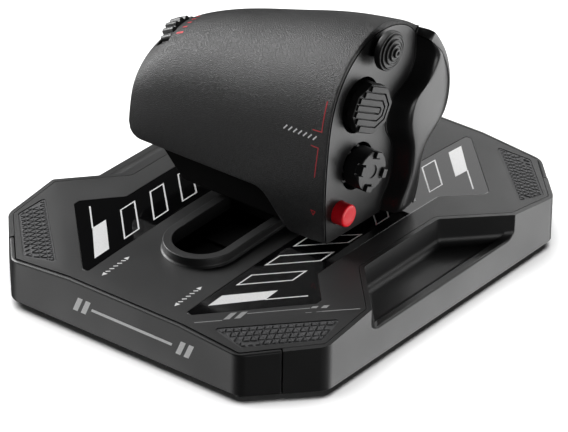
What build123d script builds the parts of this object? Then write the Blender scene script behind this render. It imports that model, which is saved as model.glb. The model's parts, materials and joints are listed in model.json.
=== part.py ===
from build123d import *
from math import sqrt
import os

# Desktop flight throttle: an octagonal base with a long slot, and a palm-sized
# handle that slides along it.  Millimetres.  X to the user's right, Y away from
# the user (the thrust direction), Z up.  The origin is the middle of the base
# on the surface that the feet stand on.

os.makedirs("parts", exist_ok=True)

# ---- base -----------------------------------------------------------------
base_width = 200.0
base_depth = 248.4
cut_x = 29.5                # how far each corner is cut back along X
cut_y = 31.6                # and along Y
corner_round = 10.0         # rounding of the housing's upright corners
deck_round = 5.0            # and of the deck's corners inside its rim
skirt_bottom = 4.7
wall = 2.4
deck_height = 34.8          # at the middle of the crowned deck
crown_radius = 1706.0
deck_thickness = 2.5
seam = 0.3                  # gap between neighbouring mouldings
facet_drop = (0.0842, 0.1368)   # slope of the corner facets along X and Y
facet_point = (39.0, 118.0, 30.7)

notch_mouth = 58.8          # half length of each side tray at the outer face
notch_back_x = 73.7         # where the tray's inner wall stands
notch_back_y = 30.2
tray_floor = 20.0
tray_round = 4.0
tray_cove = 4.0             # fillet between the tray's floor and its walls
lip_width = 3.4             # raised rim along the tray's open side
lip_height = 1.3
lip_round = 1.3
inlay_round = 1.6
inlay_depth = 1.0
pad_depth = 1.2
pad_proud = 0.3             # the pads stand this far above the deck
inset_gap = 0.1             # gap round the inlays and pads in their pockets

# ---- slot, rails and travel -------------------------------------------------
slot_end = 63.4             # centre of the round ends of the slot
slot_radius = 16.2
collar_radius = 20.0
collar_height = 5.0
travel = 38.0               # slide of the handle each way from the middle
rail_x = 28.0
rail_z = 15.0
rail_radius = 4.0
rail_half = 108.0
bush_radius = 6.0
bush_clearance = 0.05

# ---- handle -----------------------------------------------------------------
grip_y = -33.0              # front face of the handle
grip_z = 57.8               # lower edge of the palm hood
shell = 2.6
panel_x = 51.0              # outer face of the thumb panel
column_x = 61.0             # outer face of the finger column
casing_bottom = 42.0
skirt_low = 37.8            # lower edge of the thumb side

# Stations along the handle: X, height ratio and depth ratio of the section.
stations = [
    (-72, 0.53, 0.78),
    (-64, 0.62, 0.79),
    (-54, 0.69, 0.81),
    (-36, 0.77, 0.86),
    (-8, 0.855, 0.93),
    (22, 0.945, 0.98),
    (50, 1.0, 1.0),
]
# Full-size section at the thumb side, as (Y, Z).
outline = [(-31.8, 39.0), (-33, 57.8), (-31.4, 90), (-27, 112.5), (-10.5, 134.9), (14, 142.4),
           (39.2, 130.7), (40.7, 129.5), (51.5, 117.5), (57.5, 103), (58, 88), (53, 77.5),
           (43.5, 71.5), (36.5, 60), (34.5, 48), (31, skirt_low)]
hood_span = (0, 7)          # points of the outline that the palm hood follows
rear_span = (7, 16)         # and those that the finger shell follows

# Outline of the finger column on the thumb side: foot on the panel and top.
column_foot = [(10.8, 38.5), (13, 44.5), (18, 51), (20.5, 58), (21, 66), (20, 74),
               (15, 83), (15.5, 91), (20, 98.5), (31, 104), (36, 113), (36.5, 125)]
column_top = [(18, 39.5), (21.5, 46), (24, 52), (26, 58), (28, 66), (30, 75),
              (28.5, 85), (26.5, 93), (28.5, 99), (36.5, 103.5), (43, 110), (44.5, 117.5)]

# Thumb controls: centre (Y, Z) on the panel.
stick_at = (8.6, 131.0)
octagon_at = (-5.9, 105.4)
castle_at = (-7.1, 72.5)
red_at = (-21.2, 52.8)
pivot_x = 43.0

# Dial at the little-finger end.
dial_at = (-61.7, -0.9, 99.6)
dial_tilt = 27.0
dial_radius = 13.6
dial_width = 8.0
dial_teeth = 20


def save(shape, name):
    if isinstance(shape, list):
        shape = Compound(children=list(shape))
    export_step(shape, f"parts/{name}.step")


def prism_z(points, z0, z1):
    return Pos(0, 0, z0) * extrude(Polygon(*points, align=None), amount=z1 - z0, dir=(0, 0, 1))


def prism_x(points, x0, x1):
    return Pos(x0, 0, 0) * extrude(Plane.YZ * Polygon(*points, align=None), amount=x1 - x0, dir=(1, 0, 0))


def prism_y(points, y0, y1):
    return Pos(0, y0, 0) * extrude(Plane.XZ * Polygon(*points, align=None), amount=y1 - y0, dir=(0, 1, 0))


def box(x0, x1, y0, y1, z0, z1):
    return Pos((x0 + x1) / 2, (y0 + y1) / 2, (z0 + z1) / 2) * Box(x1 - x0, y1 - y0, z1 - z0)


def rod_x(x0, x1, y, z, radius):
    return Pos((x0 + x1) / 2, y, z) * Rot(0, 90, 0) * Cylinder(radius, x1 - x0)


def rod_y(y0, y1, x, z, radius):
    return Pos(x, (y0 + y1) / 2, z) * Rot(90, 0, 0) * Cylinder(radius, y1 - y0)


def rod_z(z0, z1, x, y, radius):
    return Pos(x, y, (z0 + z1) / 2) * Cylinder(radius, z1 - z0)


def deck_z(y):
    return deck_height - y * y / (2 * crown_radius)


# ---------------------------------------------------------------------------
# Base housing
# ---------------------------------------------------------------------------
def octagon(inset=0.0, corner=deck_round):
    hx = base_width / 2
    hy = base_depth / 2
    outline = Polygon(
        (hx, hy - cut_y), (hx - cut_x, hy), (-hx + cut_x, hy), (-hx, hy - cut_y),
        (-hx, -hy + cut_y), (-hx + cut_x, -hy), (hx - cut_x, -hy), (hx, -hy + cut_y),
        align=None)
    outline = fillet(outline.vertices(), corner)
    if inset:
        outline = offset(outline, -inset)
    return outline


def notch(grow=0.0):
    """Plan of the right-hand tray, grown outwards all round by grow."""
    reach = base_width / 2 + 12
    slope = (notch_mouth - notch_back_y) / (base_width / 2 - notch_back_x)
    mouth = notch_back_y + slope * (reach - notch_back_x)
    shape = Polygon((notch_back_x, notch_back_y), (notch_back_x, -notch_back_y),
                    (reach, -mouth), (reach, mouth), align=None)
    inner = shape.vertices().sort_by(Axis.X)[:2]
    shape = fillet(inner, tray_round)
    if grow:
        shape = offset(shape, grow)
    return shape


def waisted(inset=0.0):
    return octagon(inset) - notch(inset) - mirror(notch(inset), Plane.YZ)


def below_deck(drop=0.0, z0=-10.0):
    """Everything under the crowned and faceted deck surface, lowered by drop."""
    y = 150.0
    top = deck_height - drop
    low = top - y * y / (2 * crown_radius)
    side = make_face([Line((-y, z0), (-y, low)), ThreePointArc((-y, low), (0, top), (y, low)),
                      Line((y, low), (y, z0)), Line((y, z0), (-y, z0))])
    volume = Pos(-120, 0, 0) * extrude(Plane.YZ * side, amount=240, dir=(1, 0, 0))
    x, y, z = facet_point
    for sx in (1, -1):
        for sy in (1, -1):
            facet = Plane(origin=(sx * x, sy * y, z - drop),
                          z_dir=(sx * facet_drop[0], sy * facet_drop[1], 1))
            volume -= facet * Box(300, 300, 40, align=(Align.CENTER, Align.CENTER, Align.MIN))
    return volume


def tall(face, z0, z1):
    return Pos(0, 0, z0) * extrude(face, amount=z1 - z0, dir=(0, 0, 1))


def tray_cutter():
    """The space of the right-hand tray: a coved hollow and a raised rim on the open side."""
    inner_x = base_width / 2 - lip_width
    hollow = tall(notch() & Rectangle(2 * inner_x, base_depth), tray_floor, 50)
    hollow = fillet(hollow.edges().group_by(Axis.Z)[0], tray_cove)
    mouth = tall(notch() - Rectangle(2 * inner_x - 2, base_depth), tray_floor + lip_height, 50)
    ends = mouth.edges().group_by(Axis.Z)[0].filter_by(Axis.Y, reverse=True)
    return hollow + fillet(ends, tray_cove)


def housing():
    body = tall(octagon(0, corner_round), skirt_bottom, 40) & below_deck()
    tray = tray_cutter()
    for side in (tray, mirror(tray, Plane.YZ)):
        body -= side
    lip_z = tray_floor + lip_height
    for side in (Axis.X, -Axis.X):
        lip = body.edges().filter_by(Axis.Y).filter_by(lambda e: abs(e.center().Z - lip_z) < 0.1)
        body = fillet(lip.sort_by(side)[-1], lip_round)
    body -= tall(octagon(wall), 0, tray_floor - wall)
    body -= tall(waisted(wall), 0, 50)
    return body


def end_region(sign, gap):
    """Plan region of the front (sign -1) or rear skirt, split across the corners."""
    mx = base_width / 2 - cut_x / 2
    my = base_depth / 2 - cut_y / 2
    length = sqrt(cut_x ** 2 + cut_y ** 2)
    nx = cut_y / length
    ny = cut_x / length
    out = 30.0
    deep = 8.0
    side = gap / 2
    pts = [(mx - deep * nx - side, sign * (my - deep * ny + side)),
           (mx + out * nx - side, sign * (my + out * ny + side))]
    pts += [(-px, py) for px, py in reversed(pts)]
    return Polygon(*pts, align=None)


def skirts(body):
    front_cut = tall(end_region(-1, seam), 0, 60)
    rear_cut = tall(end_region(1, seam), 0, 60)
    front = body & front_cut
    rear = body & rear_cut
    rest = body - tall(end_region(-1, -seam), 0, 60) - tall(end_region(1, -seam), 0, 60)
    right = rest & box(0, 150, -150, 150, 0, 60)
    left = rest & box(-150, 0, -150, 150, 0, 60)
    return front, rear, left, right


def panel_plan(grow=0.0):
    """Plan of the right-hand gloss inlay."""
    shape = Polygon((30.5, -113.5), (34, -113.5), (76, -70.5), (76, -66.5), (60, -49), (60, 49),
                    (76, 66.5), (76, 70.5), (34, 113.5), (30.5, 113.5), align=None)
    shape = fillet(shape.vertices(), inlay_round)
    if grow:
        shape = offset(shape, grow)
    return shape


def pad_plan(grow=0.0):
    """Plan of the corner pad at +X, +Y."""
    shape = Polygon((48.5, 115.5), (67.5, 118.5), (95.2, 90.5), (92.5, 73), align=None)
    shape = fillet(shape.vertices(), 1.5)
    if grow:
        shape = offset(shape, grow)
    return shape


def quadrant(face, sx, sy):
    if sx < 0:
        face = mirror(face, Plane.YZ)
    if sy < 0:
        face = mirror(face, Plane.XZ)
    return face


def slot_plan(radius):
    bar = Rectangle(2 * radius, 2 * slot_end)
    return bar + Pos(0, slot_end) * Circle(radius) + Pos(0, -slot_end) * Circle(radius)


deck_posts = [(sx * 42, sy * 95) for sx in (-1, 1) for sy in (-1, 1)]
pads = {"right_rear": (1, 1), "left_rear": (-1, 1), "right_front": (1, -1), "left_front": (-1, -1)}


def make_base():
    body = housing()
    usb = box(-7, 7, 115, 130, 11, 19)
    front, rear, left, right = skirts(body)
    save(front, "front_skirt")
    save(rear - usb, "rear_skirt")
    save(left, "left_side_housing")
    save(right, "right_side_housing")

    deck = (tall(waisted(wall + seam), 0, 40) & below_deck()) - below_deck(deck_thickness)
    deck -= tall(slot_plan(collar_radius - 1.5), 0, 60)
    pocket = below_deck() - below_deck(inlay_depth)
    for sx in (1, -1):
        deck -= pocket & tall(quadrant(panel_plan(), sx, 1), 0, 60)
    pocket = below_deck() - below_deck(pad_depth)
    for sx, sy in pads.values():
        deck -= pocket & tall(quadrant(pad_plan(), sx, sy), 0, 60)
    for x, y in deck_posts:
        deck += rod_z(9.2, deck_z(y) - 1.5, x, y, 4) - rod_z(0, 24, x, y, 1.3)
    save(deck, "deck_plate")

    sheet = below_deck(inset_gap) - below_deck(inlay_depth)
    for sx, name in ((1, "right_gloss_inlay"), (-1, "left_gloss_inlay")):
        save(sheet & tall(quadrant(panel_plan(-inset_gap), sx, 1), 0, 60), name)
    rubber = below_deck(-pad_proud) - below_deck(pad_depth)
    for name, (sx, sy) in pads.items():
        save(rubber & tall(quadrant(pad_plan(-inset_gap), sx, sy), 0, 60), f"grip_pad_{name}")

    ring = tall(slot_plan(collar_radius), 0, 60) & (below_deck(-collar_height) - below_deck(0))
    sleeve = tall(slot_plan(collar_radius - 1.7), 0, 60) & (below_deck(0) - below_deck(deck_thickness))
    collar = ring + sleeve - tall(slot_plan(slot_radius), 0, 60)
    save(collar, "slot_collar")


floor_z = 5.5
board_posts = [(x, y) for x in (48, 62) for y in (-55, 55)]
screw_spots = deck_posts + [(-90, -40), (-90, 40), (90, -40), (90, 40)]
foot_spots = {"left_front": (-72, -92), "right_front": (72, -92),
              "left_rear": (-72, 92), "right_rear": (72, 92)}


def make_bottom():
    plate = tall(octagon(wall + seam), 3.0, floor_z)
    for x, y in screw_spots:
        plate += rod_z(floor_z, 9.2, x, y, 4)
    for x, y in board_posts:
        plate += rod_z(floor_z, 9.5, x, y, 3)
    for x, y in screw_spots:
        plate -= rod_z(0, 12, x, y, 1.7) + rod_z(0, 5, x, y, 3.2)
    for x, y in foot_spots.values():
        plate -= rod_z(2, 4, x, y, 9)
    save(plate, "bottom_plate")
    for name, (x, y) in foot_spots.items():
        foot = rod_z(0, 4, x, y, 8.8)
        foot = fillet(foot.edges().group_by(Axis.Z)[0], 0.8)
        save(foot, f"foot_{name}")
    screws = [rod_z(3.2, 5, x, y, 2.9) + rod_z(5, 12, x, y, 1.3) for x, y in screw_spots]
    save(Compound(children=screws), "base_screws")
    weight = box(-20, 20, -60, 60, floor_z, 9.0)
    save(weight, "ballast_plate")


def make_rails():
    for sign, name in ((-1, "rail_bracket_front"), (1, "rail_bracket_rear")):
        y0 = sign * 103
        y1 = sign * 111
        bracket = box(-38, 38, min(y0, y1), max(y0, y1), floor_z, 21.5)
        bracket -= box(-18, 18, min(y0, y1) - 1, max(y0, y1) + 1, 12, 30)
        for x in (-rail_x, rail_x):
            bracket -= rod_y(-rail_half, rail_half, x, rail_z, rail_radius)
        save(bracket, name)
    for sign, name in ((-1, "left_rail"), (1, "right_rail")):
        save(rod_y(-rail_half, rail_half, sign * rail_x, rail_z, rail_radius), name)
    for sign, name in ((-1, "front_end_bumper"), (1, "rear_end_bumper")):
        y = sign * (26 + travel + 0.5)
        bumper = box(-12, 12, min(y, sign * 103), max(y, sign * 103), 9.5, 11.8)
        save(bumper, name)


def make_carriage():
    body = box(-38, 38, -26, 26, 9.6, 21.5)
    for x in (-rail_x, rail_x):
        body -= rod_y(-30, 30, x, rail_z, bush_radius)
    body -= box(-15, 15, -18, 18, 9, 12)
    save(body, "carriage")
    bushes = []
    for x in (-rail_x, rail_x):
        for y in (-26, 12):
            bushes.append(rod_y(y, y + 14, x, rail_z, bush_radius)
                          - rod_y(y - 1, y + 15, x, rail_z, rail_radius + bush_clearance))
    save(Compound(children=bushes), "rail_bushes")
    save(box(38, 41, -6, 6, 11, 17), "sensor_magnet")
    post = box(-9, 9, -9, 9, 21.5, 34)
    shroud = box(-13, 13, -24, 24, 34, casing_bottom)
    column = post + shroud
    save(column, "stem_column")
    upper = box(-18.5, 18.5, -50, 50, 28.2, 29.4) - box(-9, 9, -9, 9, 20, 40)
    save(upper, "upper_dust_shutter")
    lower = box(-18.5, 18.5, -99, 99, 26.3, 27.5) - box(-10.5, 10.5, -30, 30, 20, 40)
    save(lower, "lower_dust_shutter")


def make_electronics():
    board = box(44, 66, -60, 60, 9.5, 11.1)
    save(board, "main_board")
    chip = box(47, 57, -5, 5, 11.1, 12.6)
    save(chip, "position_sensor")
    socket = box(-6.5, 6.5, 113, 123.8, 11.5, 18.5) - box(-4.6, 4.6, 116, 125, 13.4, 16.6)
    save(socket, "usb_socket")


# ---------------------------------------------------------------------------
# Handle
# ---------------------------------------------------------------------------
def place(point, height, depth):
    """A point of the full-size section, drawn at a station."""
    y, z = point
    y = grip_y + depth * (y - grip_y)
    if z > grip_z:
        z = grip_z + height * (z - grip_z)
    return (y, z)


def inset(points, amount):
    """Shift every point of an open curve to its right-hand side."""
    moved = []
    for i, (y, z) in enumerate(points):
        y0, z0 = points[max(i - 1, 0)]
        y1, z1 = points[min(i + 1, len(points) - 1)]
        length = sqrt((y1 - y0) ** 2 + (z1 - z0) ** 2)
        moved.append((y + amount * (z1 - z0) / length, z - amount * (y1 - y0) / length))
    return moved


def strip(first, last, x, height, depth, near, far):
    """Closed wall section on the plane at x, between two offsets of the outline."""
    points = [place(p, height, depth) for p in outline]
    outer = inset(points, near)[first:last]
    inner = inset(points, far)[first:last]
    face = make_face([Spline(*outer), Line(outer[-1], inner[-1]),
                      Spline(*inner[::-1]), Line(inner[0], outer[0])])
    return Plane.YZ.offset(x) * face


def skin(first, last, near, far, x_end=None):
    """Wall that follows the outline's points from first up to last, along the handle."""
    sections = [strip(first, last, x, height, depth, near, far) for x, height, depth in stations]
    if x_end:
        sections.append(strip(first, last, x_end, 1.0, 1.0, near, far))
    return loft(sections)


# Side view of the handle's lower limit: everything under this line is cut away.
def under_hood():
    return prism_y([(-90, 0), (-90, 66), (-72.5, 66), (-71.5, 62), (-68.5, 59), (-64, grip_z),
                    (9, grip_z), (14, 55.5), (26, 41), (31, 37.8), (49, 39.6), (70, 39.6), (70, 0)],
                   -60, 90)


def under_rear():
    return prism_y([(-90, 0), (-90, 60), (-66, 57), (-44, casing_bottom), (30, casing_bottom),
                    (36, skirt_low), (80, skirt_low), (80, 0)], -60, 90)


def make_shells():
    hood = skin(*hood_span, 0, shell) - under_hood()
    hood -= dial_slot()
    save(hood, "palm_hood")

    rear = skin(*rear_span, 0, shell, x_end=58.0) - under_rear()
    for x, z in finger_buttons.values():
        rear -= rod_y(20, 80, x, z, finger_radius + 0.5)
    save(rear, "finger_shell")

    casing = prism_y([(-57, 60), (-40, casing_bottom), (43, casing_bottom), (43, 60)], -30, 40)
    inner = prism_y([(-53.5, 61), (-38.8, casing_bottom + 2.5), (45, casing_bottom + 2.5), (45, 61)],
                    -27.1, 40)
    plan = prism_z([(-60, -29.3), (43, -29.3), (43, 26.5), (-60, 9)], 30, 70)
    plan_inner = prism_z([(-60, -26.9), (45, -26.9), (45, 24), (-60, 6.5)], 30, 70)
    save((casing & plan) - (inner & plan_inner), "lower_casing")

    x, height, depth = stations[0]
    loop = inset([place(p, height, depth) for p in outline], shell + 1.1)[1:-2]
    save(prism_x(loop, -71, -68.5) - dial_slot(), "end_cap")


def make_thumb_side():
    edge = [(y, max(z, skirt_low + 1)) for y, z in inset(outline, shell + 0.3)]
    plate = prism_x(edge, panel_x - 2.5, panel_x)
    rear_low = [(28.3, 38.8), (31.7, 48), (33.8, 61), (41, 73), (50, 79.5), (54.4, 89), (54, 102.5),
                (48.8, 115.5), (37.5, 126.5)]
    foot = column_foot + rear_low[::-1]
    rear_top = [(27, 39.5), (30.5, 48), (32.6, 61), (39.8, 73), (48.8, 80.5), (52.8, 90), (52.4, 101.8),
                (47.8, 113.8), (45.2, 117)]
    top = column_top + rear_top[::-1]
    outer = loft([Plane.YZ.offset(panel_x) * Polygon(*foot, align=None),
                  Plane.YZ.offset(column_x) * Polygon(*top, align=None)], ruled=True)
    core = scale_about(foot, 0.80)
    core_top = scale_about(top, 0.55)
    hollow = loft([Plane.YZ.offset(panel_x - 3) * Polygon(*core, align=None),
                   Plane.YZ.offset(column_x - 3) * Polygon(*core_top, align=None)], ruled=True)
    part = plate + outer - hollow
    for span in (hood_span, rear_span):
        part -= extrude(strip(*span, 45.0, 1.0, 1.0, -2, shell + 0.3), amount=20, dir=(1, 0, 0))
    holes = [(stick_at, 8.2), (octagon_at, 14.4), (castle_at, 12.4), (red_at, 6.1)]
    for (y, z), radius in holes:
        part -= rod_x(panel_x - 10, panel_x + 12, y, z, radius)
    save(part, "thumb_side_shell")


def scale_about(points, ratio):
    cy = sum(p[0] for p in points) / len(points)
    cz = sum(p[1] for p in points) / len(points)
    return [(cy + ratio * (y - cy), cz + ratio * (z - cz)) for y, z in points]


def make_frame():
    spine = box(-13, 13, -24, 13, casing_bottom + 2.5, 62)
    spine += box(-40, 34, -22, 10, 62, 66)
    spine += prism_x([(-26, 48), (10, 48), (18, 66), (18, 136), (2, 136), (-20, 116), (-26, 100)], 31, 34)
    spine += box(-51, -47, -10, 2, 62, 88) + box(-50, -38, -10, 2, 62, 66)
    for x in (-30, 22):
        for y in (-12, 6):
            spine += rod_z(65, 68.5, x, y, 2.5)
    save(spine - dial_frame() * dial_arm(), "inner_frame")
    save(box(-34, 26, -16, 10, 68.5, 70.1), "grip_board")


# ---------------------------------------------------------------------------
# Controls
# ---------------------------------------------------------------------------
def make_pivot(name, at, cup_radius, ring_radius):
    """Fixed cup and tilting gimbal ring of a two-axis thumb control."""
    y, z = at
    cup = rod_x(34, 46.5, y, z, cup_radius) - rod_x(39.7, 48, y, z, cup_radius - 1.2)
    save(cup, f"{name}_cup")
    ring = rod_x(pivot_x - 1.5, pivot_x + 1.5, y, z, ring_radius) - rod_x(30, 60, y, z, ring_radius - 1.8)
    save(ring, f"{name}_gimbal")


def make_mini_stick():
    y, z = stick_at
    make_pivot("mini_stick", stick_at, 6.0, 4.3)
    cap = rod_x(pivot_x - 1.5, 50, y, z, 1.6) + rod_x(49, 54.5, y, z, 5.5)
    cap += rod_x(54.5, 58.5, y, z, 10.1)
    for step in range(4):
        cap += rod_x(58.5 + step * 0.9, 59.4 + step * 0.9, y, z, 8.6 - step * 2.1)
    save(cap, "mini_stick_cap")


hat_turn = -25.0            # both hats are turned in their holes about X
hat_back = 49.3             # rear face of both hats
hat_stem = 2.4
lean_level = 57.0           # the caps lean about this level of X
octagon_lean = 6.0
castle_lean = 3.0
octagon_front = 58.0
octagon_radius = 13.4       # to the corners
rib_height = 1.2
rib_pitch = 3.4
rib_gap = 0.28              # half the groove between two ribs
castle_front = 60.2
turret_front = 61.7
castle_radius = 10.4


def on_stem(cap, at, lean):
    """A hat's cap, turned in its hole and leaning towards the thumb, on its straight stem."""
    y, z = at
    cap = Rot(hat_turn, 0, 0) * cap
    cap = Pos(lean_level, 0, 0) * Rot(0, 0, -lean) * Pos(-lean_level, 0, 0) * cap
    return Pos(0, y, z) * (cap + rod_x(pivot_x - 2, 52, 0, 0, hat_stem))


def bullet(left, right, half):
    """Outline of a U-shaped rib: square at the left, with cut corners at the right."""
    cut = 0.57 * half
    return prism_x([(left, half), (right - cut, half), (right, half - cut), (right, cut - half),
                    (right - cut, -half), (left, -half)], octagon_front, octagon_front + rib_height)


def make_octagon_hat():
    make_pivot("octagon_hat", octagon_at, 10, 5.6)
    cap = rod_x(hat_back, 54, 0, 0, 12.4)
    plate = extrude(Plane.YZ * RegularPolygon(octagon_radius, 8, rotation=22.5),
                    amount=octagon_front - 54, dir=(1, 0, 0))
    cap += Pos(54, 0, 0) * plate
    cap += bullet(-12.0, 4.9, rib_pitch / 2 - rib_gap)
    for k, left in ((1, -11.4), (2, -9.2), (3, -5.8)):
        reach = 3.33 + 2.4 * k
        rib = bullet(left, reach + 1.55, (k + 0.5) * rib_pitch - rib_gap)
        cap += rib - bullet(left - 1, reach, (k - 0.5) * rib_pitch + rib_gap)
    save(on_stem(cap, octagon_at, octagon_lean), "octagon_hat_cap")


def make_castle_hat():
    make_pivot("castle_hat", castle_at, 10, 5.6)
    cap = rod_x(hat_back, castle_front, 0, 0, castle_radius)
    cap -= rod_x(castle_front - 0.6, castle_front + 1, 0, 0, 3.4)
    notch_floor = castle_front - 2.6
    for k in range(4):
        cap -= Rot(90 * k, 0, 0) * box(notch_floor, castle_front + 1, -3.0, 3.0, 6.4, 12)
        cap += Rot(90 * k, 0, 0) * box(notch_floor - 0.4, turret_front, -2.1, 2.1, 7.3, 10.1)
    save(on_stem(cap, castle_at, castle_lean), "castle_hat_cap")


def make_red_button():
    y, z = red_at
    cap = rod_x(47, 57.5, y, z, 5.8)
    cap = fillet(cap.edges().sort_by(Axis.X)[-1], 0.8)
    cap += rod_x(45.6, 47.2, y, z, 7.0) + rod_x(43.6, 46, y, z, 2)
    save(cap, "red_button")
    switch = box(34, 41.2, y - 4, y + 4, z - 4, z + 4)
    save(switch, "red_button_switch")


finger_radius = 6.5
finger_buttons = {"index_button": (30, 98), "middle_button": (6, 93)}


def rear_surface_y(x, z):
    """Y of the finger shell's outer face, read off the section at x."""
    for (x0, h0, d0), (x1, h1, d1) in zip(stations, stations[1:]):
        if x0 <= x <= x1:
            t = (x - x0) / (x1 - x0)
            points = [place(p, h0 + t * (h1 - h0), d0 + t * (d1 - d0)) for p in outline[7:12]]
    for (ya, za), (yb, zb) in zip(points, points[1:]):
        if zb <= z <= za:
            return ya + (yb - ya) * (z - za) / (zb - za)
    return points[-1][0]


def make_finger_buttons():
    for name, (x, z) in finger_buttons.items():
        y = rear_surface_y(x, z)
        cap = rod_y(y - 8, y + 3.2, x, z, finger_radius)
        cap = fillet(cap.edges().sort_by(Axis.Y)[-1], 1.0)
        cap += rod_y(y - 9, y - 7.5, x, z, finger_radius + 1.6) + rod_y(y - 11, y - 8, x, z, 2)
        save(cap, name)
        save(box(x - 4, x + 4, y - 19, y - 13.4, z - 4, z + 4), f"{name}_switch")


def dial_frame():
    return Location(dial_at) * Location((0, 0, 0), (0, 90 - dial_tilt, 0))


def dial_slot():
    """Cut through the hood around the dial, square to its axle."""
    return dial_frame() * Box(30, 2 * dial_radius + 3, dial_width + 1.2)


def dial_arm():
    return Pos(9, 0, dial_width / 2 + 1.6) * Box(24, 9, 2)


def make_dial():
    wheel = Cylinder(dial_radius - 1.3, dial_width)
    for k in range(dial_teeth):
        tooth = Pos(dial_radius - 1.3, 0, 0) * Box(2.6, 1.9, dial_width)
        wheel += Rot(0, 0, k * 360 / dial_teeth) * tooth
    wheel += Pos(0, 0, 2) * Cylinder(2, dial_width + 4)
    save(dial_frame() * wheel, "dial_wheel")
    save(dial_frame() * (dial_arm() - Pos(0, 0, 4) * Cylinder(2.05, 12)), "dial_bracket")


make_base()
make_bottom()
make_rails()
make_carriage()
make_electronics()
make_shells()
make_thumb_side()
make_frame()
make_mini_stick()
make_octagon_hat()
make_castle_hat()
make_red_button()
make_finger_buttons()
make_dial()
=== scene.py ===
import json
from math import cos, hypot, pi, radians, sin, sqrt

import bmesh
import bpy
import numpy as np
from mathutils import Matrix, Vector

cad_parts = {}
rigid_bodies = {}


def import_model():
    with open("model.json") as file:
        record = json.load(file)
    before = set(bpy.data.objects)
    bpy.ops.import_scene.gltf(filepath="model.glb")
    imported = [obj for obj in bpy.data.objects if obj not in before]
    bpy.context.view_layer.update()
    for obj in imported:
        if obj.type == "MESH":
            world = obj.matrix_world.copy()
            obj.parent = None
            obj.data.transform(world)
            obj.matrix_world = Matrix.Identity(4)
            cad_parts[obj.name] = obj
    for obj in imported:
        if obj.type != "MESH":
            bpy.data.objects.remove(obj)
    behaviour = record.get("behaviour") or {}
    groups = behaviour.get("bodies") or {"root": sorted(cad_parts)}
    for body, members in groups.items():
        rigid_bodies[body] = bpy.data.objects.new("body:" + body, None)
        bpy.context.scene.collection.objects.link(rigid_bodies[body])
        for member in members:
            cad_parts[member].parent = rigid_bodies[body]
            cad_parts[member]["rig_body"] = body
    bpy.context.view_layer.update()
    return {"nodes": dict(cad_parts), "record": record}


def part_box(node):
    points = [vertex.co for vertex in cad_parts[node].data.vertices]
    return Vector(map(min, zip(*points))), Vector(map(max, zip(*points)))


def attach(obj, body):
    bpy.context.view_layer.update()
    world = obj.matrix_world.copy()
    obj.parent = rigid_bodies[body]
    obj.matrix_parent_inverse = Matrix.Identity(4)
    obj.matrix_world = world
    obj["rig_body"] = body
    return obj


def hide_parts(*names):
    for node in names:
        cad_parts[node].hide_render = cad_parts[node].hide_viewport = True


# Looks of the desktop flight throttle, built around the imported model.
# Shapes are worked out in millimetres, in the model's own frame, and made in metres.
MM = 0.001
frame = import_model()

# ---- base --------------------------------------------------------------------
DECK_HEIGHT = 34.8          # middle of the crowned deck
CROWN_RADIUS = 1706.0
FACET_SLOPE = (0.0842, 0.1368)
FACET_POINT = (39.0, 118.0, 30.7)
SLOT_END = 63.4
INLAY_DROP = 0.1            # the gloss inlays lie this far below the deck
PRINT_LIFT = 0.03           # printed marks stand this far above their surface
FRONT_FACE = -124.2

# ---- handle ------------------------------------------------------------------
GRIP_Y = -33.0
GRIP_Z = 57.8
SHELL = 2.6                 # wall of the handle's mouldings
PANEL_X = 51.0              # outer face of the thumb panel
SKIRT_LOW = 37.8            # lower edge of the thumb side
LEFT_CORNER = -64.0         # where the shells' lower edges turn up to the left end
CORNER_RADIUS = 8.0
STATION_X = [-72, -64, -54, -36, -8, 22, 50]
STATION_RATIOS = [(0.53, 0.78), (0.62, 0.79), (0.69, 0.81), (0.77, 0.86), (0.855, 0.93),
                  (0.945, 0.98), (1.0, 1.0)]
OUTLINE = [(-31.8, 39.0), (-33, 57.8), (-31.4, 90), (-27, 112.5), (-10.5, 134.9), (14, 142.4),
           (39.2, 130.7), (40.7, 129.5), (51.5, 117.5), (57.5, 103), (58, 88), (53, 77.5),
           (43.5, 71.5), (36.5, 60), (34.5, 48), (31, SKIRT_LOW)]
COLUMN_FOOT = [(10.8, 38.5), (13, 44.5), (18, 51), (20.5, 58), (21, 66), (20, 74),
               (15, 83), (15.5, 91), (20, 98.5), (31, 104), (36.5, 112), (37.6, 120)]
COLUMN_TOP = [(16.5, 39.5), (19, 46), (22.5, 52.5), (25.2, 59), (26.5, 66), (26.5, 75),
              (25, 83), (25, 91), (28, 98), (36, 103.5), (41.8, 109.5), (44.5, 115)]
STICK_AT = (8.6, 131.0)
OCTAGON_AT = (-5.9, 105.4)
CASTLE_AT = (-7.1, 72.5)
RED_AT = (-21.2, 52.8)
HAT_TILT = -25.0            # the two hats are turned in their holes by this many degrees
DIAL_AT = (-61.7, -0.9, 99.6)
DIAL_TILT = 27.0
DIAL_RADIUS = 13.6
DIAL_WIDTH = 8.0
DIAL_TEETH = 20
FINGER_BUTTONS = {"index_button": (30, 98), "middle_button": (6, 93)}
FINGER_RADIUS = 6.5
HOLE_CLEARANCE = 0.5
DRILL_Y = 56.0              # middle of the drills for the finger buttons' holes
DRILL_HALF = 14.0


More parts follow.
